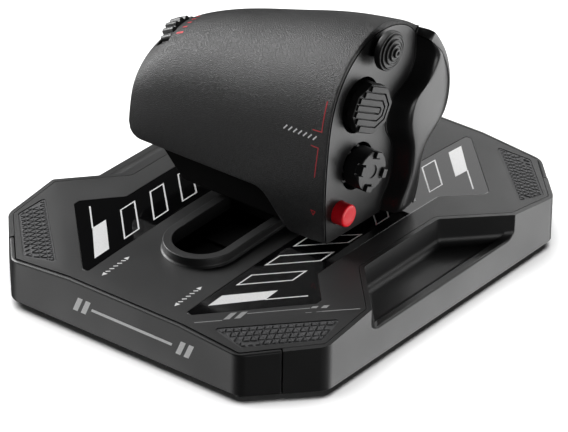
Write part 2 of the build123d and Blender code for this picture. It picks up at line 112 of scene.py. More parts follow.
# ------------------------------------------------------------------------------
# Materials
# ------------------------------------------------------------------------------
class Nodes:
    """A material's node tree, with short calls for the few kinds of node used here."""

    def __init__(self, name, roughness, specular=0.5, metallic=0.0, coat=0.0):
        self.material = bpy.data.materials.new(name)
        self.material.use_nodes = True
        self.tree = self.material.node_tree
        self.shader = self.tree.nodes["Principled BSDF"]
        self.shader.inputs["Roughness"].default_value = roughness
        self.shader.inputs["Specular IOR Level"].default_value = specular
        self.shader.inputs["Metallic"].default_value = metallic
        self.shader.inputs["Coat Weight"].default_value = coat
        self.shader.inputs["Coat Roughness"].default_value = 0.08
        self.space = self.tree.nodes.new("ShaderNodeTexCoord").outputs["Object"]

    def noise(self, scale, detail=2.0, rough=0.5, stretch=None):
        node = self.tree.nodes.new("ShaderNodeTexNoise")
        node.inputs["Scale"].default_value = scale
        node.inputs["Detail"].default_value = detail
        node.inputs["Roughness"].default_value = rough
        self.tree.links.new(self.mapped(stretch), node.inputs["Vector"])
        return node.outputs["Fac"]

    def cells(self, scale, feature="DISTANCE_TO_EDGE"):
        node = self.tree.nodes.new("ShaderNodeTexVoronoi")
        node.feature = feature
        node.inputs["Scale"].default_value = scale
        self.tree.links.new(self.space, node.inputs["Vector"])
        return node.outputs["Distance"]

    def mapped(self, stretch):
        if stretch is None:
            return self.space
        node = self.tree.nodes.new("ShaderNodeMapping")
        node.inputs["Scale"].default_value = stretch
        self.tree.links.new(self.space, node.inputs["Vector"])
        return node.outputs["Vector"]

    def span(self, value, low, high, out_low, out_high):
        """The value from low..high spread over out_low..out_high."""
        node = self.tree.nodes.new("ShaderNodeMapRange")
        for name, number in zip(("From Min", "From Max", "To Min", "To Max"), (low, high, out_low, out_high)):
            node.inputs[name].default_value = number
        self.tree.links.new(value, node.inputs["Value"])
        return node.outputs["Result"]

    def blend(self, share, low, high):
        """A colour between low and high by share."""
        node = self.tree.nodes.new("ShaderNodeMix")
        node.data_type = "RGBA"
        node.inputs["A"].default_value = (*low, 1)
        node.inputs["B"].default_value = (*high, 1)
        self.tree.links.new(share, node.inputs["Factor"])
        return node.outputs["Result"]

    def add(self, one, two, weight=1.0):
        node = self.tree.nodes.new("ShaderNodeMath")
        node.operation = "MULTIPLY_ADD"
        self.tree.links.new(two, node.inputs[0])
        node.inputs[1].default_value = weight
        self.tree.links.new(one, node.inputs[2])
        return node.outputs[0]

    def colour(self, value):
        self.tree.links.new(value, self.shader.inputs["Base Color"])

    def roughness(self, value):
        self.tree.links.new(value, self.shader.inputs["Roughness"])

    def bump(self, height, distance, strength=1.0):
        node = self.tree.nodes.new("ShaderNodeBump")
        node.inputs["Strength"].default_value = strength
        node.inputs["Distance"].default_value = distance
        self.tree.links.new(height, node.inputs["Height"])
        self.tree.links.new(node.outputs["Normal"], self.shader.inputs["Normal"])


def moulded(name, tone, roughness, grain, depth, specular=0.5, spread=0.12):
    """Moulded plastic: an eroded grain of that size in metres, with slight tone and gloss changes."""
    made = Nodes(name, roughness, specular)
    fine = made.noise(1 / grain, 3.0, 0.6)
    broad = made.noise(22.0, 2.0)
    share = made.span(made.add(fine, broad, 0.6), 0.55, 1.05, 0.0, 1.0)
    low = [c * (1 - spread) for c in tone]
    high = [c * (1 + spread) for c in tone]
    made.colour(made.blend(share, low, high))
    made.roughness(made.span(broad, 0.3, 0.7, roughness - 0.05, roughness + 0.05))
    made.bump(fine, depth)
    return made.material


def leathered(name, tone, roughness, pebble, depth):
    """Plastic with a coarse leather-like grain of rounded pebbles between fine creases, with painted shade in
    the creases.
    """
    made = Nodes(name, roughness, 0.42)
    creases = made.cells(1 / pebble)
    small = made.noise(1.7 / pebble, 3.0, 0.6)
    height = made.add(made.span(creases, 0.0, 0.32, 0.0, 1.0), small, 0.9)
    # Colour follows the grain's height: painted shade darkens the creases and the pebble tops are painted
    # lighter
    made.colour(made.blend(made.span(height, 0.3, 1.5, 0.0, 1.0), [c * 0.72 for c in tone],
                           [c * 1.18 for c in tone]))
    made.roughness(made.span(made.noise(30.0), 0.3, 0.7, roughness - 0.04, roughness + 0.05))
    made.bump(height, depth)
    return made.material


def polished(name, tone):
    """Piano-black plastic, with a faint waviness and a few soft smears."""
    made = Nodes(name, 0.06, 0.5, coat=0.4)
    smears = made.noise(35.0, 3.0, 0.6, (1.0, 0.35, 1.0))
    made.colour(made.blend(made.span(smears, 0.35, 0.75, 0.0, 1.0), tone, [c * 1.5 for c in tone]))
    made.roughness(made.span(smears, 0.45, 0.8, 0.05, 0.11))
    made.bump(made.noise(60.0), 0.00002)
    return made.material


def rubber(name, tone, roughness=0.75):
    made = Nodes(name, roughness, 0.3)
    fine = made.noise(2600.0, 3.0, 0.65)
    dust = made.noise(90.0, 4.0, 0.6)
    made.colour(made.blend(made.span(dust, 0.35, 0.75, 0.0, 1.0), tone, [c * 1.35 for c in tone]))
    made.roughness(made.span(dust, 0.3, 0.8, roughness - 0.07, roughness + 0.08))
    made.bump(fine, 0.00004)
    return made.material


def printed(name, tone):
    """Screen-printed ink: slightly uneven cover on the plastic under it."""
    made = Nodes(name, 0.45, 0.4)
    cover = made.noise(1500.0, 3.0, 0.7)
    made.colour(made.blend(made.span(cover, 0.3, 0.6, 0.0, 1.0), [c * 0.86 for c in tone], tone))
    made.roughness(made.span(cover, 0.3, 0.7, 0.4, 0.5))
    made.bump(cover, 0.00001)
    return made.material


def metal(name, tone, roughness, lay):
    """Ground or turned metal, with fine tool marks along the direction of least stretch."""
    made = Nodes(name, roughness, metallic=1.0)
    marks = made.noise(900.0, 4.0, 0.6, lay)
    made.colour(made.blend(marks, [c * 0.85 for c in tone], tone))
    made.roughness(made.span(marks, 0.3, 0.7, roughness - 0.08, roughness + 0.1))
    made.bump(marks, 0.00001)
    return made.material


def circuit_board(name):
    made = Nodes(name, 0.35, 0.5)
    tracks = made.cells(260.0, "F1")
    made.colour(made.blend(made.span(tracks, 0.35, 0.45, 0.0, 1.0), (0.012, 0.09, 0.04), (0.02, 0.16, 0.07)))
    made.bump(made.span(tracks, 0.35, 0.45, 0.0, 1.0), 0.00003)
    return made.material


MATERIALS = {
    "matte_shell": moulded("matte_shell", (0.010, 0.0101, 0.0104), 0.42, 0.00055, 0.00005),
    "deck_shell": moulded("deck_shell", (0.012, 0.0121, 0.0124), 0.45, 0.00050, 0.00006, 0.5, 0.2),
    "grained_shell": leathered("grained_shell", (0.010, 0.0101, 0.0103), 0.44, 0.00085, 0.00010),
    "satin_shell": moulded("satin_shell", (0.011, 0.0111, 0.0113), 0.36, 0.00040, 0.00002),
    # shadow_shell is near-black painted shade for the lower casing, stem column and dust shutters, which lie
    # in shade under the hood and in the slot
    "shadow_shell": moulded("shadow_shell", (0.0015, 0.0015, 0.0016), 0.7, 0.0006, 0.00005, 0.06),
    "inner_moulding": moulded("inner_moulding", (0.05, 0.05, 0.053), 0.55, 0.0008, 0.00005),
    "gloss_inlay": polished("gloss_inlay", (0.002, 0.002, 0.0022)),
    "grip_rubber": rubber("grip_rubber", (0.062, 0.062, 0.064), 0.5),
    "foot_rubber": rubber("foot_rubber", (0.02, 0.02, 0.02)),
    "control_cap": moulded("control_cap", (0.012, 0.012, 0.0124), 0.45, 0.00035, 0.00002),
    "red_cap": moulded("red_cap", (1.0, 0.004, 0.018), 0.4, 0.0012, 0.00001, 0.5, 0.04),
    "steel": metal("steel", (0.62, 0.62, 0.63), 0.32, (1.0, 0.05, 1.0)),
    "bronze": metal("bronze", (0.60, 0.42, 0.20), 0.38, (1.0, 0.1, 1.0)),
    "circuit_board": circuit_board("circuit_board"),
    "chip": moulded("chip", (0.02, 0.02, 0.021), 0.5, 0.0003, 0.00002),
    "socket_shell": metal("socket_shell", (0.75, 0.75, 0.76), 0.22, (1.0, 0.2, 1.0)),
    "pale_print": printed("pale_print", (0.78, 0.78, 0.78)),
    "dim_print": printed("dim_print", (0.30, 0.30, 0.30)),
    "red_print": printed("red_print", (0.55, 0.03, 0.04)),
}


# ------------------------------------------------------------------------------
# Mesh helpers
# ------------------------------------------------------------------------------
def paint(made, material):
    made.data.materials.clear()
    made.data.materials.append(MATERIALS[material])


def piece(name, mesh, body, material, node=None):
    """A finished object on a body. It may replace a CAD node. Its slot is its material's by default."""
    made = bpy.data.objects.new(name, mesh)
    bpy.context.scene.collection.objects.link(made)
    paint(made, material)
    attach(made, body)
    if node:
        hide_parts(node)
    return made


def mesh_from(name, verts, faces, smooth=True):
    """A mesh in metres from vertices in millimetres."""
    mesh = bpy.data.meshes.new(name)
    mesh.from_pydata([tuple(float(c) * MM for c in v) for v in verts], [], faces)
    if smooth:
        mesh.shade_smooth()
    return tidied(mesh)


def tidied(mesh):
    made = bmesh.new()
    made.from_mesh(mesh)
    bmesh.ops.remove_doubles(made, verts=made.verts, dist=0.002 * MM)
    bmesh.ops.recalc_face_normals(made, faces=made.faces)
    made.to_mesh(mesh)
    made.free()
    return mesh


def joined(name, parts, smooth=True):
    """One mesh of several (verts, faces) parts."""
    verts = []
    faces = []
    for part_verts, part_faces in parts:
        start = len(verts)
        verts += list(part_verts)
        faces += [tuple(start + i for i in face) for face in part_faces]
    return mesh_from(name, verts, faces, smooth)


def soften(made, width, segments=2, angle=30.0):
    """Rounds the sharp edges of a piece, and shades its flat faces flat."""
    bevel = made.modifiers.new("edges", "BEVEL")
    bevel.width = width * MM
    bevel.segments = segments
    bevel.limit_method = "ANGLE"
    bevel.angle_limit = radians(angle)
    bevel.harden_normals = False
    normals = made.modifiers.new("normals", "WEIGHTED_NORMAL")
    normals.keep_sharp = True
    made.data.shade_smooth()


def cut(made, tool_mesh):
    """Cuts a tool's mesh away from a piece's mesh."""
    tool = bpy.data.objects.new("tool", tool_mesh)
    bpy.context.scene.collection.objects.link(tool)
    boolean = made.modifiers.new("cut", "BOOLEAN")
    boolean.operation = "DIFFERENCE"
    boolean.solver = "EXACT"
    boolean.object = tool
    bpy.context.view_layer.update()
    graph = bpy.context.evaluated_depsgraph_get()
    result = bpy.data.meshes.new_from_object(made.evaluated_get(graph))
    made.modifiers.remove(boolean)
    made.data = result
    bpy.data.objects.remove(tool)


def polish(node, width, material):
    """A CAD node's own shape with softened edges."""
    source = frame["nodes"][node]
    mesh = source.data.copy()
    made = bmesh.new()
    made.from_mesh(mesh)
    bmesh.ops.remove_doubles(made, verts=made.verts, dist=0.001 * MM)
    bmesh.ops.dissolve_limit(made, angle_limit=radians(0.6), verts=made.verts, edges=made.edges)
    made.to_mesh(mesh)
    made.free()
    soften(piece(f"{node}_moulding", mesh, source["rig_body"], material, node), width, 2, 28.0)


def grid_faces(rows, columns, closed_rows=False, closed_columns=False):
    faces = []
    for i in range(rows if closed_rows else rows - 1):
        for j in range(columns if closed_columns else columns - 1):
            k = (i + 1) % rows
            m = (j + 1) % columns
            faces.append((i * columns + j, i * columns + m, k * columns + m, k * columns + j))
    return faces


def tube_faces(rings, count):
    """Faces of a closed tube of rings, with both ends filled."""
    ends = [tuple(range(count))[::-1], tuple(range((rings - 1) * count, rings * count))]
    return grid_faces(rings, count, closed_columns=True) + ends


def lathe(profile, place, turns=72):
    """(verts, faces) of a profile of (along, radius) turned about the first axis of place."""
    rows = len(profile)
    verts = []
    for along, radius in profile:
        for k in range(turns):
            angle = 2 * pi * k / turns
            verts.append(place @ Vector((along, radius * cos(angle), radius * sin(angle))))
    return verts, grid_faces(rows, turns, closed_columns=True)


def rounded(corners, radius, steps=4):
    """The points of an open polyline with its inner corners rounded."""
    points = [Vector(corners[0])]
    for before, corner, after in zip(corners, corners[1:], corners[2:]):
        corner = Vector(corner)
        back = Vector(before) - corner
        ahead = Vector(after) - corner
        reach = min(radius, back.length * 0.45, ahead.length * 0.45)
        start = corner + back.normalized() * reach
        end = corner + ahead.normalized() * reach
        for k in range(steps + 1):
            t = k / steps
            points.append(start * (1 - t) ** 2 + corner * 2 * t * (1 - t) + end * t ** 2)
    points.append(Vector(corners[-1]))
    return points


def spline(points, knots=None):
    """Natural cubic spline through points; a function of 0..1, by chord length unless knots are given."""
    p = np.array(points, float)
    if knots is None:
        knots = np.concatenate([[0], np.cumsum(np.linalg.norm(np.diff(p, axis=0), axis=1))])
    t = (np.array(knots, float) - knots[0]) / (knots[-1] - knots[0])
    n = len(p)
    h = np.diff(t)
    left = np.eye(n)
    right = np.zeros_like(p)
    for i in range(1, n - 1):
        left[i, i - 1:i + 2] = (h[i - 1], 2 * (h[i - 1] + h[i]), h[i])
        right[i] = 6 * ((p[i + 1] - p[i]) / h[i] - (p[i] - p[i - 1]) / h[i - 1])
    bend = np.linalg.solve(left, right)

    def at(u):
        u = np.clip(np.atleast_1d(np.array(u, float)), 0, 1)
        i = np.clip(np.searchsorted(t, u, side="right") - 1, 0, n - 2)
        back = (u - t[i])[:, None]
        ahead = (t[i + 1] - u)[:, None]
        step = h[i][:, None]
        return ((bend[i] * ahead ** 3 + bend[i + 1] * back ** 3) / (6 * step)
                + (p[i] / step - bend[i] * step / 6) * ahead
                + (p[i + 1] / step - bend[i + 1] * step / 6) * back)

    return at


# ------------------------------------------------------------------------------
# Base
# ------------------------------------------------------------------------------
def deck_z(x, y):
    """Height of the deck: a shallow crown with a facet at each corner."""
    crown = DECK_HEIGHT - y * y / (2 * CROWN_RADIUS)
    fx, fy, fz = FACET_POINT
    facet = fz - FACET_SLOPE[0] * (abs(x) - fx) - FACET_SLOPE[1] * (abs(y) - fy)
    return min(crown, facet)


def slot_path(steps=40):
    """Points and outward directions round the slot's own centre line, a stadium of zero width."""
    path = []
    for sign in (1, -1):
        for k in range(steps + 1):
            angle = pi * k / steps
            path.append((0.0, sign * SLOT_END, sign * cos(angle), sign * sin(angle)))
    full = []
    for one, two in zip(path, path[1:] + path[:1]):
        full.append(one)
        if one[1] != two[1]:
            for k in range(1, 24):
                t = k / 24
                full.append((0.0, one[1] + t * (two[1] - one[1]), one[2], one[3]))
    return full


def make_collar():
    """Raised ring round the slot: a flat top with crisp edges and a steep outer wall with a small foot."""
    profile = rounded([(14.6, -2.4), (14.6, 4.9), (19.3, 4.9), (19.5, 0.9), (20.3, 0.02)], 0.45)
    profile += [Vector((20.0, -0.4)), Vector((18.3, -0.4)), Vector((18.3, -2.4))]
    path = slot_path()
    verts = []
    for x, y, nx, ny in path:
        for reach, height in profile:
            px = x + nx * reach
            py = y + ny * reach
            verts.append((px, py, deck_z(0, py) + height))
    faces = grid_faces(len(path), len(profile), closed_rows=True, closed_columns=True)
    made = piece("slot_collar_ring", mesh_from("slot_collar_ring", verts, faces), "base", "deck_shell",
                 "slot_collar")
    soften(made, 0.1, 1, 60)


def make_base():
    for side in ("left", "right"):
        polish(f"{side}_side_housing", 0.9, "matte_shell")
        polish(f"{side}_gloss_inlay", 0.25, "gloss_inlay")
        for end in ("front", "rear"):
            polish(f"foot_{side}_{end}", 0.4, "foot_rubber")
    for end in ("front", "rear"):
        polish(f"{end}_skirt", 0.9, "matte_shell")
    polish("deck_plate", 0.25, "deck_shell")
    polish("bottom_plate", 0.5, "matte_shell")
    make_collar()


PAD_PLAN = [(48.5, 115.5), (67.5, 118.5), (95.2, 90.5), (92.5, 73)]
PAD_PITCH = 3.7
PAD_GROOVE = 0.34           # half the groove between two triangles
PAD_BORDER = 0.9            # plain rubber round the triangles


def cut_to(shape, outline, margin):
    """A convex shape cut to a convex outline that is shrunk by a margin."""
    centre = sum((Vector(p) for p in outline), Vector((0, 0))) / len(outline)
    for a, b in zip(outline, outline[1:] + outline[:1]):
        along = (Vector(b) - Vector(a)).normalized()
        side = Vector((-along.y, along.x))
        if side.dot(centre - Vector(a)) < 0:
            side = -side
        start = Vector(a) + side * margin
        kept = []
        for p, q in zip(shape, shape[1:] + shape[:1]):
            dp = side.dot(Vector(p) - start)
            dq = side.dot(Vector(q) - start)
            if dp >= 0:
                kept.append(Vector(p))
            if dp * dq < 0:
                kept.append(Vector(p).lerp(Vector(q), dp / (dp - dq)))
        shape = kept
        if len(shape) < 3:
            return []
    return shape


def tread():
    """Outlines of the small triangles that cover one pad, in plan."""
    origin = Vector(PAD_PLAN[0])
    along = (Vector(PAD_PLAN[3]) - origin).normalized()
    across = Vector((-along.y, along.x))
    shapes = []
    for j in range(-1, 7):
        for i in range(-3, 24):
            low = origin + along * (i + 0.5 * (j % 2)) * PAD_PITCH + across * j * PAD_PITCH
            apex = low + along * 0.5 * PAD_PITCH + across * PAD_PITCH
            up = [low, low + along * PAD_PITCH, apex]
            down = [low + along * PAD_PITCH, apex + along * PAD_PITCH, apex]
            for shape in (up, down):
                shape = cut_to(shape, PAD_PLAN, PAD_BORDER)
                if shape:
                    shapes.append(shape)
    return shapes


def pad_z(x, y, height):
    return deck_z(x, y) + height


def make_pads():
    """Corner pads: a rubber sheet in a shallow recess, with rows of raised triangles."""
    shapes = tread()
    ring = [p.to_tuple() for p in rounded_loop(PAD_PLAN, 1.5)]
    for side, sx in (("left", -1), ("right", 1)):
        for end, sy in (("front", -1), ("rear", 1)):
            parts = [slab([(sx * x, sy * y) for x, y in shrunk_loop(ring, 0.15)], -1.1, -0.35)]
            for shape in shapes:
                foot = cut_to(shape, shape, PAD_GROOVE * 0.45)
                top = cut_to(shape, shape, PAD_GROOVE * 1.25)
                if len(foot) >= 3 and len(top) == len(foot):
                    parts.append(frustum(foot, top, sx, sy, -0.4, 0.24))
            name = f"grip_pad_{side}_{end}"
            mesh = joined(f"{name}_tread", parts, smooth=False)
            piece(f"{name}_tread", mesh, "base", "grip_rubber", name)


def rounded_loop(corners, radius):
    """A closed polygon with rounded corners."""
    count = len(corners)
    points = []
    for k in range(count):
        three = [corners[k - 1], corners[k], corners[(k + 1) % count]]
        points += rounded(three, radius, 5)[1:-1]
    return points


def shrunk_loop(points, amount):
    """A closed smooth loop moved inwards."""
    count = len(points)
    centre = sum((Vector(p) for p in points), Vector((0, 0))) / count
    moved = []
    for k in range(count):
        along = (Vector(points[(k + 1) % count]) - Vector(points[k - 1])).normalized()
        side = Vector((-along.y, along.x))
        if side.dot(centre - Vector(points[k])) < 0:
            side = -side
        moved.append((Vector(points[k]) + side * amount).to_tuple())
    return moved


def slab(loop, low, high):
    """A thin plate that follows the deck between two heights."""
    count = len(loop)
    verts = [(x, y, pad_z(x, y, low)) for x, y in loop] + [(x, y, pad_z(x, y, high)) for x, y in loop]
    return verts, tube_faces(2, count)


def frustum(foot, top, sx, sy, low, high):
    count = len(foot)
    verts = [(sx * p[0], sy * p[1], pad_z(p[0], p[1], low)) for p in foot]
    verts += [(sx * p[0], sy * p[1], pad_z(p[0], p[1], high)) for p in top]
    faces = [(k, (k + 1) % count, count + (k + 1) % count, count + k) for k in range(count)]
    faces.append(tuple(range(count, 2 * count)))
    return verts, faces


# ---- printed marks on the deck and inlays --------------------------------------
def ribbon(points, width, height, closed=False, step=8.0):
    """(verts, faces) of a flat mitred line on the deck, height above it."""
    fine = []
    pairs = list(zip(points, points[1:] + points[:1])) if closed else list(zip(points, points[1:]))
    for a, b in pairs:
        count = max(1, int((Vector(b) - Vector(a)).length / step))
        fine += [Vector(a).lerp(Vector(b), k / count) for k in range(count)]
    if not closed:
        fine.append(Vector(points[-1]))
    verts = []
    count = len(fine)
    for k, p in enumerate(fine):
        ahead = fine[(k + 1) % count] - p if closed or k < count - 1 else p - fine[k - 1]
        back = p - fine[k - 1] if closed or k > 0 else ahead
        ahead.normalize()
        back.normalize()
        mitre = ahead + back
        mitre.normalize()
        side = Vector((-mitre.y, mitre.x)) * (width / 2) / max(0.35, mitre.dot(ahead))
        for q in (p + side, p - side):
            verts.append((q.x, q.y, deck_z(q.x, q.y) + height))
    rows = count if closed else count - 1
    faces = [(2 * k, 2 * k + 1, (2 * k + 3) % (2 * count), (2 * k + 2) % (2 * count)) for k in range(rows)]
    return verts, faces


def patch(corners, height):
    """A filled flat shape on the deck: one face through its corners, set at the deck's height."""
    verts = [(x, y, deck_z(x, y) + height) for x, y in corners]
    return verts, [tuple(range(len(corners)))]


def flat_marks(name, parts, body, material):
    """One piece of printed marks."""
    piece(name, joined(name, parts, False), body, material)


BAR_FILLED = [(35.2, 91.8), (35.3, 102.6), (54.1, 82.1), (53.8, 72.2)]
BAR_OUTLINES = [[(35.3, 69.1), (35.2, 80.0), (53.8, 60.8), (53.8, 50.3)],
                [(35.1, 46.9), (35.0, 57.7), (53.5, 38.4), (53.5, 28.3)],
                [(35.1, 24.6), (35.1, 35.4), (53.6, 16.4), (53.7, 6.3)]]
BAR_LINE = 0.75


def make_prints():
    low = PRINT_LIFT - INLAY_DROP
    parts = []
    for sx in (-1, 1):
        for sy in (-1, 1):
            parts.append(patch([(sx * x, sy * y) for x, y in BAR_FILLED], low))
            parts.append(ribbon([(sx * 53.9, sy * 82.2), (sx * 68.3, sy * 67.4)], BAR_LINE, low))
            for outline in BAR_OUTLINES:
                parts.append(ribbon([(sx * x, sy * y) for x, y in outline], BAR_LINE, low, closed=True))
    flat_marks("inlay_bars", parts, "base", "pale_print")

    parts = []
    parts.append(ribbon([(39.1, -117.7), (48.6, -108.3)], 0.5, PRINT_LIFT))
    parts.append(ribbon([(54.7, -97.0), (75.8, -75.5)], 0.5, PRINT_LIFT))
    parts.append(ribbon([(82.0, -74.2), (95.1, -61.5)], 0.5, PRINT_LIFT))
    for x, y in ((48.6, -107.6), (52.3, -103.9), (76.4, -80.0), (80.1, -76.3)):
        parts.append(patch([(x, y), (x + 2.1, y + 2.1), (x + 1.6, y + 8.6), (x - 0.5, y + 6.5)], PRINT_LIFT))
    flat_marks("crease_marks", parts, "base", "dim_print")

    parts = []
    face_y = FRONT_FACE - PRINT_LIFT

    def mark(x0, x1, z0, z1, lean):
        corners = [(x0, face_y, z0), (x1, face_y, z0), (x1 + lean, face_y, z1), (x0 + lean, face_y, z1)]
        parts.append((corners, [(0, 1, 2, 3)]))

    for x in (-31.0, -26.0, 33.0, 38.0):
        mark(x, x + 3.0, 14.6, 22.4, 3.4)
    mark(-19.5, 30.5, 17.7, 19.3, 0.7)
    flat_marks("front_stripe", parts, "base", "pale_print")

    parts = []
    for x in (-22.6, 22.6):
        for k in range(5):
            y = -108.4 + 2.9 * k
            parts.append(ribbon([(x - 0.9, y), (x + 0.9, y + 1.5)], 0.75, PRINT_LIFT))
        for y, sign in ((-93.4, 1), (-110.4, -1)):
            parts.append(patch([(x - 1.3, y - sign * 0.9), (x + 1.3, y - sign * 0.9), (x, y + sign * 1.9)],
                               PRINT_LIFT))
    flat_marks("travel_arrows", parts, "base", "pale_print")


# ------------------------------------------------------------------------------
# Handle
# ------------------------------------------------------------------------------
station_ratios = spline(STATION_RATIOS, STATION_X)
hood_curve = spline(OUTLINE[:7] + [(39.9, 130.2)])
rear_curve = spline([(40.2, 129.95)] + OUTLINE[7:])
HOOD_END = 50.6


def ratios(x):
    """Height and depth ratio of the handle's section at x."""
    share = (x - STATION_X[0]) / (STATION_X[-1] - STATION_X[0])
    height, depth = station_ratios(min(share, 1.0))[0]
    return height, depth


def section(curve, x, count=240):
    """Fine points (Y, Z) along one of the section's curves, at x."""
    height, depth = ratios(x)
    points = curve(np.linspace(0, 1, count))
    points[:, 0] = GRIP_Y + depth * (points[:, 0] - GRIP_Y)
    above = points[:, 1] > GRIP_Z
    points[above, 1] = GRIP_Z + height * (points[above, 1] - GRIP_Z)
    return points


def along(points, count, first=0.0, last=1.0):
    """Points evenly spaced by length along a fine polyline, between two of its parameters."""
    s = np.linspace(0, 1, len(points))
    t = np.linspace(first, last, len(points))
    fine = np.stack([np.interp(t, s, points[:, k]) for k in range(points.shape[1])], axis=1)
    length = np.concatenate([[0], np.cumsum(np.linalg.norm(np.diff(fine, axis=0), axis=1))])
    want = np.linspace(0, length[-1], count)
    return np.stack([np.interp(want, length, fine[:, k]) for k in range(fine.shape[1])], axis=1)


def inset_points(points, amount):
    """Every point of an open curve moved to its right-hand side."""
    moved = []
    for i, (y, z) in enumerate(points):
        y0, z0 = points[max(i - 1, 0)]
        y1, z1 = points[min(i + 1, len(points) - 1)]
        length = hypot(y1 - y0, z1 - z0)
        moved.append((y + amount * (z1 - z0) / length, z - amount * (y1 - y0) / length))
    return moved


PANEL_INSET = [1.2, 1.2, 1.2, 1.5, 2.6, 3.5, 3.9, 4.0, 3.4, 1.5, 0.9, 0.9, 0.9, 0.9, 0.9, 0.9]
panel_edge = [inset_points(OUTLINE, amount)[k] for k, amount in enumerate(PANEL_INSET)]
panel_edge = [(y, max(z, SKIRT_LOW + 1)) for y, z in panel_edge]
PANEL_FRONT = spline(panel_edge[:8])(np.linspace(0, 1, 600))
PANEL_REAR = spline(panel_edge[7:])(np.linspace(0, 1, 600))
PANEL_SEAM = 0.22


def rim_thickness(grid, start, end):
    """Wall of a shell grid: even, but reaching in as far as the thumb panel's edge at the right end."""
    border = np.concatenate([PANEL_FRONT, PANEL_REAR])
    wall = np.full((len(grid), len(grid[0])), SHELL)
    for i, row in enumerate(grid):
        share = float(np.clip((row[0][0] - start) / (end - start), 0, 1))
        if share > 0:
            for k, (_, y, z) in enumerate(row):
                reach = np.min(np.hypot(border[:, 0] - y, border[:, 1] - z)) - PANEL_SEAM
                wall[i, k] += share * (max(0.5, reach) - SHELL)
    return wall


def eased(x, corners, reach):
    """Height of a lower edge line at x, with its corners averaged over the reach."""
    xs = [c[0] for c in corners]
    zs = [c[1] for c in corners]
    samples = np.linspace(x - reach, x + reach, 9)
    return float(np.mean(np.interp(samples, xs, zs)))


def left_rise(x):
    """Rise of a lower edge round the left end's corner."""
    return CORNER_RADIUS - sqrt(max(0.0, CORNER_RADIUS ** 2 - (x - LEFT_CORNER) ** 2))


def hood_low(x):
    """Lower edge of the hood: level, rounded up at the left end, stepping down at the right."""
    if x < LEFT_CORNER:
        return GRIP_Z + left_rise(x)
    return eased(x, [(-64, 57.8), (9, 57.8), (14, 55.5), (26, 41), (31, 37.8), (49, 39.6), (60, 40.7)], 2.2)


def rear_low(x):
    """Lower edge of the finger shell."""
    if x < LEFT_CORNER:
        return 57.5 + left_rise(x)
    return eased(x, [(-90, 60), (-66, 57), (-44, 42), (30, 42), (36, 37.8), (80, 37.8)], 3.0)


def shell_from(grid, thickness, rim):
    """A closed wall from a grid of outer points, with rounded rims: returns its mesh."""
    p = np.array(grid, float)
    rows, columns = p.shape[:2]
    du = np.gradient(p, axis=0)
    dv = np.gradient(p, axis=1)
    normal = np.cross(du, dv)
    normal /= np.linalg.norm(normal, axis=2)[:, :, None]
    if normal[rows // 2, columns // 2] @ (p[rows // 2, columns // 2] - p.mean((0, 1))) < 0:
        normal = -normal
    inner = p - normal * np.broadcast_to(thickness, (rows, columns))[:, :, None]
    verts = list(p.reshape(-1, 3)) + list(inner.reshape(-1, 3))
    count = rows * columns
    faces = grid_faces(rows, columns)
    faces += [tuple(count + i for i in face[::-1]) for face in grid_faces(rows, columns)]
    border = list(range(columns))
    border += [i * columns + columns - 1 for i in range(1, rows)]
    border += [(rows - 1) * columns + j for j in range(columns - 2, -1, -1)]
    border += [i * columns for i in range(rows - 2, 0, -1)]
    for a, b in zip(border, border[1:] + border[:1]):
        faces.append((a, b, count + b, count + a))
    mesh = mesh_from("shell", verts, faces)
    made = bmesh.new()
    made.from_mesh(mesh)
    made.edges.ensure_lookup_table()
    sharp = [e for e in made.edges if len(e.link_faces) == 2 and e.calc_face_angle() > radians(50)]
    bmesh.ops.bevel(made, geom=sharp, offset=rim * MM, segments=3, profile=0.5, affect="EDGES",
                    clamp_overlap=True)
    for face in made.faces:
        face.smooth = True
    made.to_mesh(mesh)
    made.free()
    return mesh


def hood_grid():
    xs = np.concatenate([np.linspace(-72, -60, 13), np.linspace(-58, 4, 32), np.linspace(5.5, HOOD_END, 31)])
    grid = []
    for x in xs:
        fine = section(hood_curve, x)
        start = np.interp(hood_low(x), fine[:60, 1], np.linspace(0, 59 / 239, 60))
        row = along(fine, 64, start, 1.0)
        grid.append([(x, y, z) for y, z in row])
    return grid


def dial_matrix():
    """Frame of the dial: its third axis is the axle."""
    return Matrix.Translation(DIAL_AT) @ Matrix.Rotation(radians(90 - DIAL_TILT), 4, "Y")


def block(size, place):
    """A box mesh of that size, in millimetres, under a placing matrix."""
    made = bmesh.new()
    bmesh.ops.create_cube(made, size=1.0)
    matrix = Matrix.Scale(MM, 4) @ place @ Matrix.Diagonal((*size, 1))
    bmesh.ops.transform(made, matrix=matrix, verts=made.verts)
    mesh = bpy.data.meshes.new("block")
    made.to_mesh(mesh)
    made.free()
    return mesh


def dial_opening():
    return block((30, 2 * DIAL_RADIUS + 3, DIAL_WIDTH + 1.2), dial_matrix())


def make_hood():
    grid = hood_grid()
    made = piece("palm_hood_skin", shell_from(grid, rim_thickness(grid, 46.0, 48.0), 0.45), "throttle",
                 "grained_shell", "palm_hood")
    cut(made, dial_opening())
    paint(made, "grained_shell")


def finger_row(fine, start):
    """Points up the finger side, closer together near the upper seam."""
    row = along(fine, 200, start, 1.0)
    share = np.linspace(0, 1, 64)
    want = 1 - (1 - share) ** 1.6
    length = np.linspace(0, 1, 200)
    return np.stack([np.interp(want, length, row[:, k]) for k in range(2)], axis=1)


